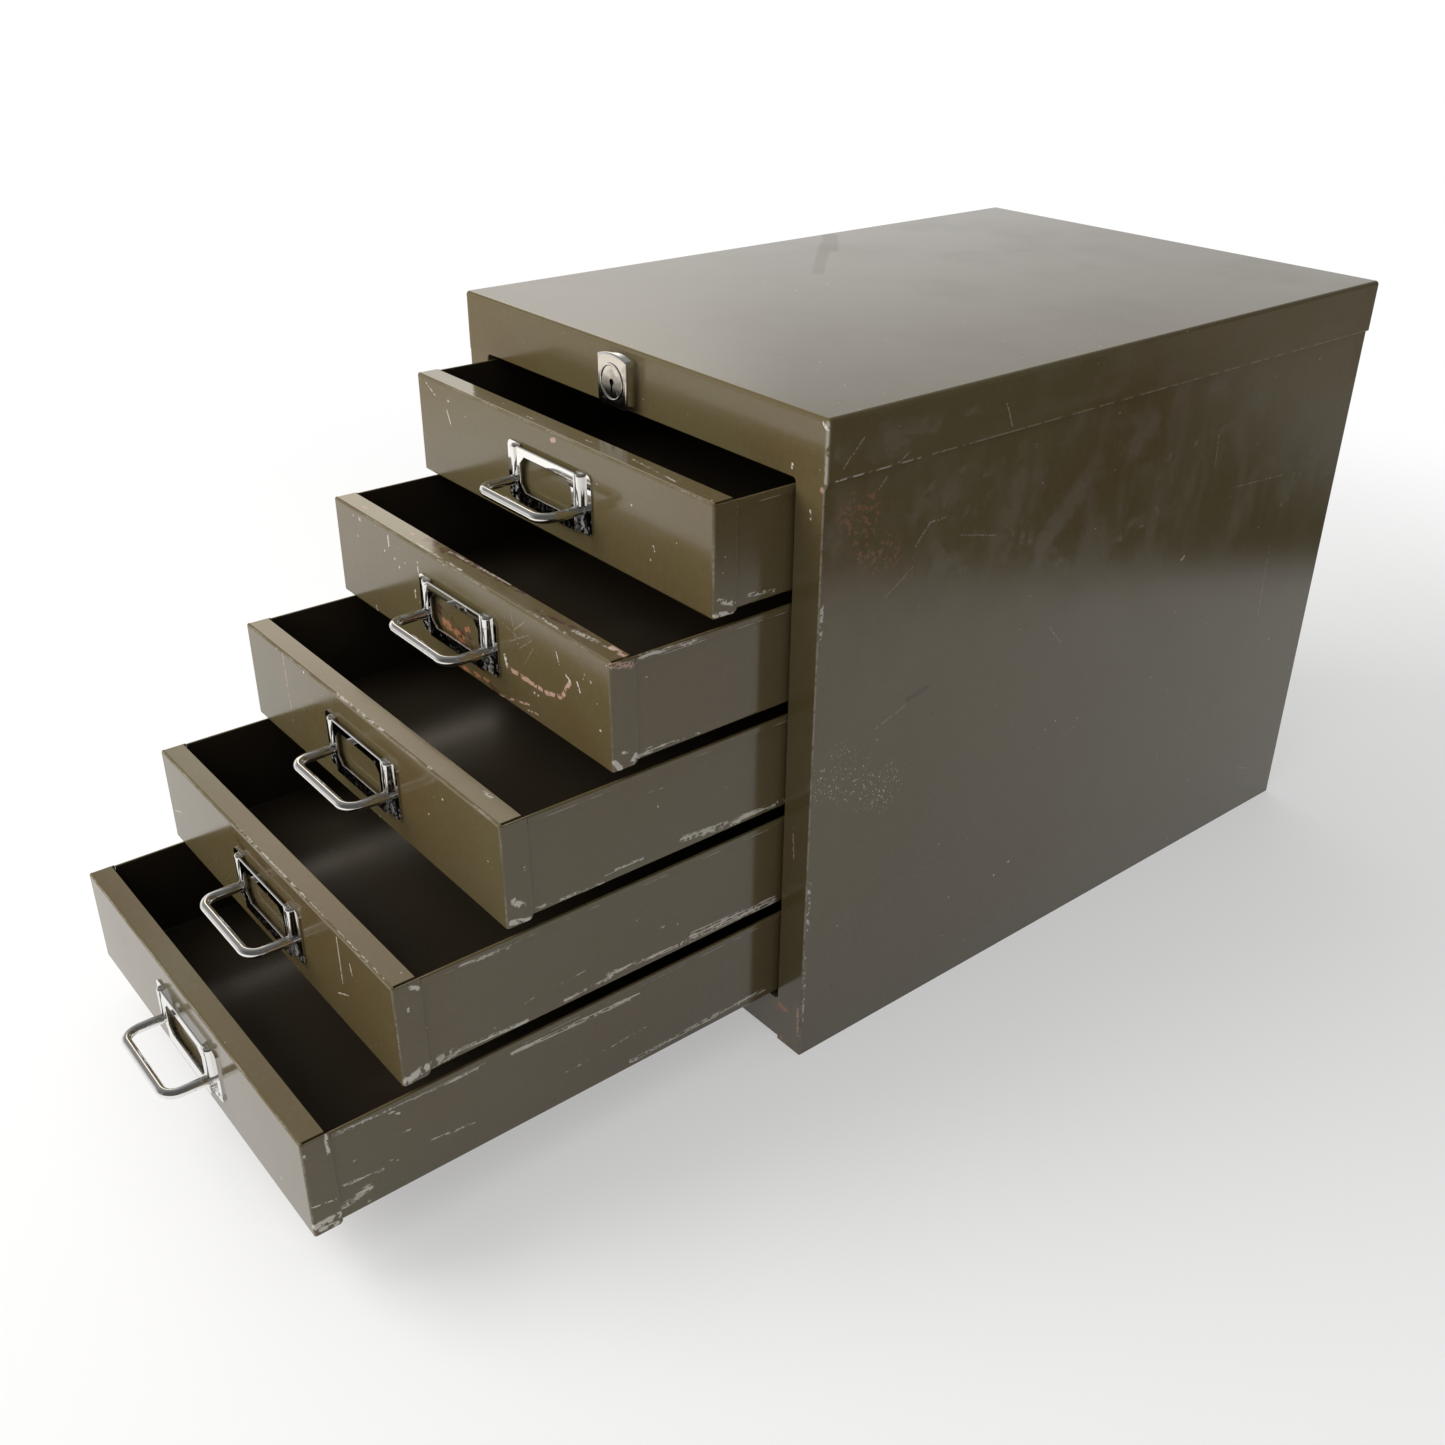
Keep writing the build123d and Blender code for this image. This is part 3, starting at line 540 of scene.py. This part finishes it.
trayMarks = {
    1: (((20, 45), (35, 47), 1.2),),
    2: (
        ((15, 2), (46, 3), 1.5), ((14, 48), (20, 47), 2.2), ((20, 47), (46, 48), 0.8),
        ((18, 12), (19, 12), 0.6)),
    3: (
        ((15, 47), (49, 49), 1.0), ((50, 45), (70, 45), 1.0), ((92, 44), (124, 47), 2.2),
        ((125, 46), (151, 47), 1.6), ((74, 13), (86, 14), 0.5)),
    4: (
        ((14, 47), (24, 46), 3.2), ((24, 46), (60, 48), 1.3), ((80, 47), (105, 46), 1.3),
        ((103, 44), (151, 47), 1.5), ((151, 45), (200, 47), 3.0), ((31, 4), (54, 5), 1.6),
        ((119, 22), (125, 20), 0.6), ((132, 32), (134, 32), 0.9), ((60, 38), (92, 36), 0.6)),
    5: (
        ((15, 3), (37, 4), 1.3), ((37, 4), (81, 6), 1.2), ((98, 7), (165, 9), 1.5), ((39, 6), (43, 9), 1.0),
        ((41, 19), (47, 20), 0.8), ((56, 32), (77, 34), 0.9), ((21, 22), (22, 22), 0.7),
        ((36, 31), (40, 33), 0.7), ((15, 32), (33, 34), 1.0), ((13, 43), (26, 40), 2.6),
        ((25, 47), (26, 47), 0.8), ((120, 33), (171, 30), 0.5), ((160, 46), (203, 45), 1.4),
        ((203, 45), (242, 45), 1.6)),
}
drawerFront = {
    "ragged": (300.0, 1.6 * mm),
    "wobbly": (350.0, 0.6 * mm),
    "faceReach": 0.9 * mm,
    "foldReach": 1.0 * mm,
    "earReach": 0.6 * mm,
    "earWear": 0.3,
    "foldWear": 0.6,
    "faintShare": 0.22,
    "topShare": 0.6,
    "broadWear": (55.0, 0.40, 0.62, 4.0),
    "fineWear": (520.0, 0.36, 0.58, 4.0),
    "topWear": (160.0, 0.42, 0.55, 4.0),
    "earPatches": (380.0, 0.40, 0.48, 4.0),
    "faceStainPatches": (350.0, 0.36, 0.50, 4.0),
    "topStainPatches": (320.0, 0.42, 0.52, 4.0),
    "rustPatches": (300.0, 0.40, 0.52, 4.0),
    "faceDarkPatches": (200.0, 0.35, 0.60, 4.0),
    "topDarkPatches": (260.0, 0.44, 0.54, 4.0),
}


def drawerPaint(index):
    material, tree, shader = newMaterial("drawerPaint" + str(index))
    point = place(tree)
    low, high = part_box("drawer_" + str(index) + "_front")
    ragged = shaken(tree, point, drawerFront["ragged"])
    wobbly = shaken(tree, point, drawerFront["wobbly"])
    flakes = patches(tree, point, enamel["flakes"])
    x, y, z = axes(tree, point)

    def onFace(across, down):
        return across * mm, low[1], high[2] - down * mm

    def onTop(across, back):
        return across * mm, low[1] + back * mm, high[2]

    def onEar(back, down):
        return high[0], low[1] + back * mm, high[2] - down * mm

    def drawn(name, edge, onSurface, mask):
        return marked(tree, edge, drawerMarks[index].get(name, ()), onSurface, mask)

    def spots(name):
        return patches(tree, point, drawerFront[name])

    # folds rubbed bright: top front, both front corners and the ears' rear edges
    atFace = nearValue(tree, y, low[1], drawerFront["faceReach"])
    atTop = nearValue(tree, z, high[2], drawerFront["foldReach"])
    atEnds = nearValue(tree, maths(tree, "ABSOLUTE", x), high[0], drawerFront["foldReach"])
    earEdge = both(tree, atEnds, nearValue(tree, y, high[1], drawerFront["earReach"]))
    folds = anyOf(
        tree, both(tree, atFace, atTop), both(tree, atFace, atEnds),
        faded(tree, earEdge, drawerFront["earWear"]))
    worn = both(tree, spots("broadWear"), spots("fineWear"))
    thinned = faded(tree, both(tree, flakes, spots("topWear")), drawerFront["topShare"])
    layers = {
        "bare": anyOf(
            tree, faded(tree, both(tree, folds, worn), drawerFront["foldWear"]),
            drawn("faceFaint", wobbly, onFace, faded(tree, flakes, drawerFront["faintShare"])),
            drawn("faceBare", wobbly, onFace, flakes),
            drawn("topBare", wobbly, onTop, thinned),
            marked(tree, ragged, earMarks[index], onEar, spots("earPatches")),
            patches(tree, point, enamel["pinholes"])),
        "stain": anyOf(
            tree, drawn("faceStain", ragged, onFace, spots("faceStainPatches")),
            drawn("topStain", ragged, onTop, spots("topStainPatches")),
            marked(tree, ragged, earStain.get(index, ()), onEar, flakes)),
        "rust": drawn("faceRust", ragged, onFace, spots("rustPatches")),
        "darkRust": anyOf(
            tree, drawn("faceDark", ragged, onFace, spots("faceDarkPatches")),
            drawn("topDark", ragged, onTop, spots("topDarkPatches"))),
    }
    finishPaint(tree, shader, point, paintBase(tree, point), layers, enamel["gloss"])
    return material


# trays: olive outside, and dark inside, where the dark colour is painted shade
tray = {
    "wallMiddle": 1.25 * mm,  # from the front's end to the middle of the tray's side
    "outerFace": 0.5 * mm,
    "skin": 0.35 * mm,
    "step": 0.1 * mm,
    "hemDepth": 3.2 * mm,
    "hemReach": 0.5 * mm,
    "hemWear": (60.0, 0.50, 0.60, 4.0),
    "hemShare": 0.6,
    "ragged": (300.0, 1.4 * mm),
    "rubs": (1100.0, 0.50, 0.56, 2.0),
    "rubSqueeze": (1, 0.05, 1),
    "rubPatches": (500.0, 0.52, 0.56, 4.0),
    "rubShare": 0.7,
}


def trayPaint(index):
    material, tree, shader = newMaterial("trayPaint" + str(index))
    point = place(tree)
    low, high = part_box("drawer_" + str(index) + "_tray")
    frontLow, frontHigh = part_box("drawer_" + str(index) + "_front")
    x, y, z = axes(tree, point)
    step = tray["step"]
    skin = tray["skin"]
    middle = frontHigh[0] - tray["wallMiddle"]
    inside = ramp(tree, maths(tree, "ABSOLUTE", x), middle + step, middle - step)
    inside = both(tree, inside, ramp(tree, z, low[2] + skin, low[2] + skin + step))
    inside = both(tree, inside, ramp(tree, y, low[1] + skin, low[1] + skin + step))
    inside = both(tree, inside, ramp(tree, y, high[1] - skin, high[1] - skin - step))

    def onWall(back, down):
        return frontHigh[0] - tray["outerFace"], frontLow[1] + back * mm, frontHigh[2] - down * mm

    # rubbed along the slide, and along the hem at the top
    rubs = anyOf(
        tree, streaks(tree, point, tray["rubSqueeze"], tray["rubs"]),
        faded(tree, patches(tree, point, tray["rubPatches"]), tray["rubShare"]))
    hem = nearValue(tree, z, high[2] - tray["hemDepth"], tray["hemReach"])
    hem = both(tree, hem, ramp(tree, x, middle, middle + 2 * step))
    hem = both(tree, hem, patches(tree, point, tray["hemWear"]))
    bare = anyOf(
        tree, marked(tree, shaken(tree, point, tray["ragged"]), trayMarks[index], onWall, rubs),
        faded(tree, hem, tray["hemShare"]), patches(tree, point, enamel["pinholes"]))
    # painted shade: the inside of each tray gets the dark colour
    colour = mixColour(tree, inside, paintBase(tree, point), enamel["inside"])
    layers = {"bare": both(tree, bare, opposite(tree, inside))}
    gloss = ramp(tree, inside, 0.0, 1.0, enamel["gloss"], enamel["insideGloss"])
    finishPaint(tree, shader, point, colour, layers, gloss)
    return material


# card frames and pulls
chrome = {
    "colour": (0.80, 0.79, 0.77, 1),
    "grimeAndReflection": (0.035, 0.028, 0.022, 1),
    "gloss": 0.05,
    "pittedGloss": 0.13,
    "dirtyGloss": 0.5,
    "specks": (560.0, 0.54, 0.64, 3.0),
    "pitting": (120.0, 0.55, 0.75, 4.0),
    "rustPatches": (420.0, 0.48, 0.58, 4.0),
    "bandHeight": (8 * mm, 3 * mm),  # above the plate's foot: where the painted dark reflection begins and where it is full
    "bandDepth": (3 * mm, 1.5 * mm),  # in front of the plate's back
    "wireRadius": 2.4 * mm,
    "legReach": 4 * mm,
    "jointDepth": 2.0 * mm,
    "jointReach": 3.5 * mm,
    "jointHeight": (16 * mm, 11 * mm),
    "pittingShare": 0.5,
    "grimeAndReflectionShare": 0.9,
    "rustShare": 0.8,
    "wave": 0.03 * mm,
    "waveScale": 180.0,
    "waveDetail": 2.0,
    "waveStrength": 0.25,
}


def brightChrome(index):
    # plate, frame and pull of one drawer, with grime specks in the pitting, a painted dark reflection along
    # the plate's lower band, and rust at the joints
    material, tree, shader = newMaterial("brightChrome" + str(index))
    point = place(tree)
    low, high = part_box("drawer_" + str(index) + "_card_frame")
    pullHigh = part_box("drawer_" + str(index) + "_pull")[1]
    x, y, z = axes(tree, point)
    bandTop, bandFull = chrome["bandHeight"]
    bandFront, bandBack = chrome["bandDepth"]
    # painted reflection: the plate's lower band darkened in specks, as if reflecting the dark drawer below
    paintedReflectionBand = ramp(tree, z, low[2] + bandTop, low[2] + bandFull)
    paintedReflectionBand = both(tree, paintedReflectionBand, ramp(tree, y, high[1] - bandFront, high[1] - bandBack))
    legs = pullHigh[0] - chrome["wireRadius"]
    jointTop, jointFull = chrome["jointHeight"]
    joint = nearValue(tree, maths(tree, "ABSOLUTE", x), legs, chrome["legReach"])
    joint = both(tree, joint, nearValue(tree, y, high[1] - chrome["jointDepth"], chrome["jointReach"]))
    joint = both(tree, joint, ramp(tree, z, low[2] + jointTop, low[2] + jointFull))
    pitting = patches(tree, point, chrome["pitting"])
    dirtAndReflection = anyOf(tree, paintedReflectionBand, faded(tree, pitting, chrome["pittingShare"]))
    dirtAndReflection = both(tree, patches(tree, point, chrome["specks"]), dirtAndReflection)
    rusty = both(tree, joint, patches(tree, point, chrome["rustPatches"]))
    dirtRustAndReflection = anyOf(tree, dirtAndReflection, rusty)
    # grime in the pitting, and painted dark reflection in the lower band
    colour = mixColour(tree, faded(tree, dirtAndReflection, chrome["grimeAndReflectionShare"]), chrome["colour"], chrome["grimeAndReflection"])
    colour = mixColour(tree, faded(tree, rusty, chrome["rustShare"]), colour, enamel["darkRust"])
    feed(tree, shader.inputs["Base Color"], colour)
    feed(tree, shader.inputs["Metallic"], opposite(tree, dirtRustAndReflection))
    roughness = ramp(tree, pitting, 0.0, 1.0, chrome["gloss"], chrome["pittedGloss"])
    feed(tree, shader.inputs["Roughness"], ramp(tree, dirtRustAndReflection, 0.0, 1.0, roughness, chrome["dirtyGloss"]))
    wave = noise(tree, point, chrome["waveScale"], chrome["waveDetail"])
    bump(tree, shader, wave, chrome["wave"], chrome["waveStrength"])
    return material


# lock face and plug
satin = {
    "stained": (0.46, 0.43, 0.38, 1),
    "stains": (160.0, 0.48, 0.68, 4.0),
    "stainShare": 0.30,
    "specks": (900.0, 0.72, 0.78, 2.0),
    "speckShare": 0.6,
    "gloss": (0.13, 0.26),
    "wave": 0.03 * mm,
    "waveScale": 260.0,
    "waveDetail": 2.0,
    "waveStrength": 0.3,
}


def lockChrome():
    material, tree, shader = newMaterial("lockChrome")
    point = place(tree)
    stains = patches(tree, point, satin["stains"])
    specks = patches(tree, point, satin["specks"])
    colour = mixColour(tree, faded(tree, stains, satin["stainShare"]), chrome["colour"], satin["stained"])
    colour = mixColour(tree, faded(tree, specks, satin["speckShare"]), colour, chrome["grimeAndReflection"])
    feed(tree, shader.inputs["Base Color"], colour)
    shader.inputs["Metallic"].default_value = 1.0
    feed(tree, shader.inputs["Roughness"], ramp(tree, stains, 0.0, 1.0, *satin["gloss"]))
    wave = noise(tree, point, satin["waveScale"], satin["waveDetail"])
    bump(tree, shader, wave, satin["wave"], satin["waveStrength"])
    return material


# nuts, catches and the lock's iron
zinc = {
    "light": (0.42, 0.41, 0.38, 1),
    "dark": (0.30, 0.29, 0.26, 1),
    "tarnish": (60.0, 0.4, 0.7, 4.0),
    "bloom": (90.0, 0.4, 0.7, 4.0),
    "gloss": (0.32, 0.5),
}


def zincPlate():
    material, tree, shader = newMaterial("zincPlate")
    point = place(tree)
    colour = mixColour(tree, patches(tree, point, zinc["tarnish"]), zinc["light"], zinc["dark"])
    feed(tree, shader.inputs["Base Color"], colour)
    shader.inputs["Metallic"].default_value = 1.0
    bloom = patches(tree, point, zinc["bloom"])
    feed(tree, shader.inputs["Roughness"], ramp(tree, bloom, 0.0, 1.0, *zinc["gloss"]))
    return material


# every CAD node keeps its shape and gets its finish
dress("top_and_front_shell", shellPaint())
dress("side_panel_right", sidePaint())
plain = plainPaint()
for name in ("side_panel_left", "back_panel", "floor_pan"):
    dress(name, plain)
for hand in ("right", "left"):
    dress("top_kicker_" + hand, plain)
    for index in range(1, drawerCount + 1):
        dress("runner_" + hand + "_" + str(index), plain)
lockFace = lockChrome()
for name in ("lock_body", "lock_plug"):
    dress(name, lockFace)
plated = zincPlate()
for name in (
        "lock_nut", "lock_rod", "lock_crank", "rod_bracket", "locking_bar",
        "bar_guide_upper", "bar_guide_lower"):
    dress(name, plated)
for index in range(1, drawerCount + 1):
    drawer = "drawer_" + str(index) + "_"
    bright = brightChrome(index)
    dress(drawer + "front", drawerPaint(index))
    dress(drawer + "tray", trayPaint(index))
    dress(drawer + "card_frame", bright)
    dress(drawer + "pull", bright)
    dress(drawer + "pull_nuts", plated)
    dress(drawer + "catch", plated)
print("frame dressed")


# camera, in metres, with the lens in pixels of the square picture
view = {
    "place": (0.55666, -0.60294, 0.50723),
    "right": (0.6322, 0.77475, 0.0094),
    "down": (0.37916, -0.29877, -0.87577),
    "focalPixels": 1490.5,
    "imagePixels": 1445,
    "sensor": 36.0,
    "clipStart": 0.01,
}


def addCamera():
    data = bpy.data.cameras.new("photoCamera")
    data.sensor_width = view["sensor"]
    data.lens = view["focalPixels"] / view["imagePixels"] * view["sensor"]
    data.clip_start = view["clipStart"]
    camera = bpy.data.objects.new("photoCamera", data)
    right = Vector(view["right"]).normalized()
    up = -Vector(view["down"])
    up = (up - up.dot(right) * right).normalized()
    back = right.cross(up)
    turn = Matrix((right, up, back)).transposed()
    camera.matrix_world = Matrix.Translation(view["place"]) @ turn.to_4x4()
    bpy.context.collection.objects.link(camera)
    bpy.context.scene.camera = camera


# floor and lamp; a fade is where it starts and ends, in metres, and the values there
room = {
    "floorSize": 14.0,
    "floorDrop": 0.2 * mm,
    "floorColour": (0.82, 0.815, 0.805, 1),
    "floorGloss": 0.8,
    "floorSpecular": 0.1,
    "boardColour": (0.060, 0.045, 0.030, 1),
    "paperEdge": (0.53, 0.19, 0.0),
    "awayFromEdge": (0.839, 0.544, 0.0),
    "edgeFade": (-0.03, 0.10),
    "boardSlant": 0.6,
    "boardFade": (0.75, 0.40),
    "farColour": (0.45, 0.395, 0.33, 1),
    "farFade": (0.85, 1.45),
    "cameraFade": (0.55, 1.05, 0.40, 1.0),
    "mirrorFade": (1.05, 0.55, 0.0, 0.66),
    "lampPower": 40.0,
    "lampSize": 1.5,
    "lampPlace": (-1.1, -1.5, 1.3),
    "lampAim": (0.0, -0.1, 0.15),
}


def addFloor():
    # pale paper; gloss alone shows its edge on the right, dark boards beyond that, and a dim far end
    mesh = bpy.data.meshes.new("paleFloor")
    shape = bmesh.new()
    bmesh.ops.create_grid(shape, x_segments=1, y_segments=1, size=room["floorSize"] / 2)
    shape.to_mesh(mesh)
    shape.free()
    floor = bpy.data.objects.new("paleFloor", mesh)
    floor.location = (0, 0, -room["floorDrop"])
    bpy.context.collection.objects.link(floor)
    material, tree, shader = newMaterial("paleFloor")
    point = place(tree)
    path = tree.nodes.new("ShaderNodeLightPath")
    toCamera = path.outputs["Is Camera Ray"]
    toGloss = path.outputs["Is Glossy Ray"]
    x, y = axes(tree, point)[:2]
    fromEdge = vectorMaths(tree, "SUBTRACT", point, room["paperEdge"])
    fromEdge = vectorMaths(tree, "DOT_PRODUCT", fromEdge, room["awayFromEdge"])
    slanted = maths(tree, "SUBTRACT", y, maths(tree, "MULTIPLY", x, room["boardSlant"]))
    boards = ramp(tree, fromEdge, *room["edgeFade"])
    boards = both(tree, boards, ramp(tree, slanted, *room["boardFade"]))
    boards = both(tree, boards, toGloss)
    distance = vectorMaths(tree, "LENGTH", point)
    far = both(tree, ramp(tree, distance, *room["farFade"]), toGloss)
    colour = mixColour(tree, far, room["floorColour"], room["farColour"])
    feed(tree, shader.inputs["Base Color"], mixColour(tree, boards, colour, room["boardColour"]))
    shader.inputs["Roughness"].default_value = room["floorGloss"]
    shader.inputs["Specular IOR Level"].default_value = room["floorSpecular"]
    # to the camera the floor goes over into the white background, and gloss shows the near floor as bright
    seen = both(tree, ramp(tree, distance, *room["cameraFade"]), toCamera)
    mirrored = both(tree, ramp(tree, distance, *room["mirrorFade"]), opposite(tree, boards))
    mirrored = both(tree, mirrored, toGloss)
    glow = tree.nodes.new("ShaderNodeEmission")
    glow.inputs["Strength"].default_value = 1.0
    mix = tree.nodes.new("ShaderNodeMixShader")
    feed(tree, mix.inputs[0], maths(tree, "ADD", seen, mirrored))
    tree.links.new(shader.outputs[0], mix.inputs[1])
    tree.links.new(glow.outputs[0], mix.inputs[2])
    output = [node for node in tree.nodes if node.type == "OUTPUT_MATERIAL"][0]
    tree.links.new(mix.outputs[0], output.inputs[0])
    mesh.materials.append(material)


# what the gloss shows: a bright wall low on the left and behind, a window above it, and the rest dim;
# a range is where it starts and ends, and the levels there where they aren't 0 and 1
sky = {
    "dark": 0.10,
    "upper": 0.22,
    "horizon": 0.75,
    "brightDirection": (-0.95, 0.30, 0.0),
    "broadSide": (-0.30, 0.70, 0.0, 0.76),
    "brightSide": (0.74, 0.93, 0.0, 0.34),
    "lowBand": (0.50, 0.16),
    "window": 1.55,
    "windowColour": (1.0, 0.90, 0.76, 1),
    "windowDirection": (-0.891, 0.454, 0.0),
    "windowWidth": (0.962, 0.997),
    "windowFoot": (0.20, 0.36),
    "windowHead": (0.72, 0.55),
    "softDirection": (-0.60, -0.62, 0.50),
    "softLight": (-0.45, 0.75, 0.18, 0.95),
    "white": (1, 1, 1, 1),
}


def addWorld():
    world = bpy.data.worlds.new("softRoom")
    world.use_nodes = True
    tree = world.node_tree
    tree.nodes.clear()
    output = tree.nodes.new("ShaderNodeOutputWorld")
    background = tree.nodes.new("ShaderNodeBackground")
    path = tree.nodes.new("ShaderNodeLightPath")
    toCamera = path.outputs["Is Camera Ray"]
    toGloss = path.outputs["Is Glossy Ray"]
    direction = tree.nodes.new("ShaderNodeTexCoord").outputs["Generated"]
    height = axes(tree, direction)[2]
    towards = vectorMaths(tree, "DOT_PRODUCT", direction, sky["brightDirection"])
    broad = ramp(tree, towards, *sky["broadSide"])
    left = maths(tree, "ADD", broad, ramp(tree, towards, *sky["brightSide"]))
    lowBand = faded(tree, ramp(tree, height, *sky["lowBand"]), sky["horizon"])
    level = maths(tree, "ADD", sky["upper"], lowBand)
    flat = vectorMaths(tree, "NORMALIZE", vectorMaths(tree, "MULTIPLY", direction, (1, 1, 0)))
    window = vectorMaths(tree, "DOT_PRODUCT", flat, sky["windowDirection"])
    window = ramp(tree, window, *sky["windowWidth"])
    foot = ramp(tree, height, *sky["windowFoot"])
    window = both(tree, window, both(tree, foot, ramp(tree, height, *sky["windowHead"])))
    level = maths(tree, "ADD", level, faded(tree, window, sky["window"]))
    shown = maths(tree, "ADD", both(tree, level, left), sky["dark"])
    # what lights the paint: soft, from the left, the front and above
    soft = vectorMaths(tree, "DOT_PRODUCT", direction, sky["softDirection"])
    lighting = ramp(tree, soft, *sky["softLight"])
    strength = ramp(tree, toGloss, 0.0, 1.0, lighting, shown)
    feed(tree, background.inputs["Strength"], ramp(tree, toCamera, 0.0, 1.0, strength, 1.0))
    colour = mixColour(tree, both(tree, window, toGloss), sky["white"], sky["windowColour"])
    feed(tree, background.inputs["Color"], colour)
    tree.links.new(background.outputs[0], output.inputs[0])
    bpy.context.scene.world = world


def addLamp():
    # a broad soft lamp that the gloss doesn't show
    data = bpy.data.lights.new("softLamp", "AREA")
    data.energy = room["lampPower"]
    data.size = room["lampSize"]
    lamp = bpy.data.objects.new("softLamp", data)
    lamp.location = room["lampPlace"]
    aim = Vector(room["lampAim"]) - Vector(room["lampPlace"])
    lamp.rotation_euler = aim.to_track_quat("-Z", "Y").to_euler()
    lamp.visible_glossy = False
    bpy.context.collection.objects.link(lamp)


addCamera()
addFloor()
addWorld()
addLamp()
bpy.context.scene.view_settings.view_transform = "Standard"
print("camera and light set")
